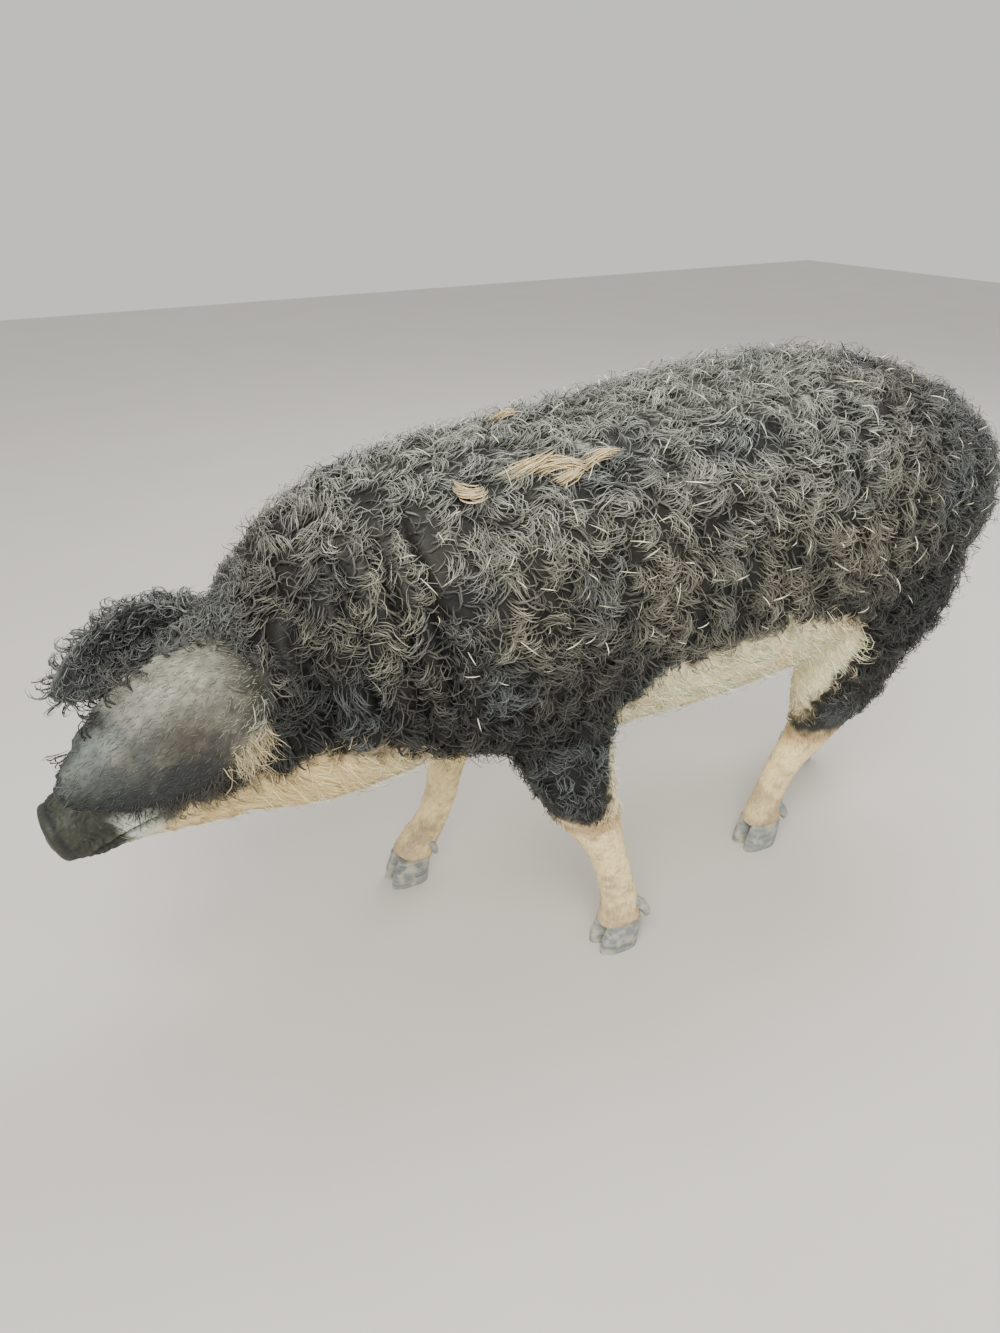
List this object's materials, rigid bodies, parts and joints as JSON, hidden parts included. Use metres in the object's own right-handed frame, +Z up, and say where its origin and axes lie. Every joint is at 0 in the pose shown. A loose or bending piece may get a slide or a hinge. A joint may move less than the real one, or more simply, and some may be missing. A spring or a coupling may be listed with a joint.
{
  "type": "curly-haired pig figure",
  "caption": "Life-size still model of a curly-haired dark pig with blond belly and legs, lop ears and lowered head, standing mid-stride.",
  "frame": {"origin": "on the floor, under the centre of the bounding box", "axes": "the pig faces -X, its left side is -Y, +Z up"},
  "size_m": [1.4864, 0.444, 0.8004],
  "materials": {
    "coat": "matt curly wool, black above, blond below",
    "lower_legs": "short blond hair",
    "ears": "slate skin with short hair",
    "snout": "dark bristly skin",
    "horn": "blue-grey and cream horn",
    "eyes": "wet dark brown"
  },
  "bodies": {
    "root": {"ear_left": "ears", "ear_right": "ears", "eye_left": "eyes", "eye_right": "eyes", "forefoot_left_claw_inner": "horn", "forefoot_left_claw_outer": "horn", "forefoot_left_dewclaw_inner": "horn", "forefoot_left_dewclaw_outer": "horn", "forefoot_right_claw_inner": "horn", "forefoot_right_claw_outer": "horn", "forefoot_right_dewclaw_inner": "horn", "forefoot_right_dewclaw_outer": "horn", "foreleg_left": "lower_legs", "foreleg_right": "lower_legs", "head": "coat", "hindfoot_left_claw_inner": "horn", "hindfoot_left_claw_outer": "horn", "hindfoot_left_dewclaw_inner": "horn", "hindfoot_left_dewclaw_outer": "horn", "hindfoot_right_claw_inner": "horn", "hindfoot_right_claw_outer": "horn", "hindfoot_right_dewclaw_inner": "horn", "hindfoot_right_dewclaw_outer": "horn", "hindleg_left": "lower_legs", "hindleg_right": "lower_legs", "neck": "coat", "snout": "snout", "tail": "coat", "torso": "coat"}
  },
  "joints": []
}
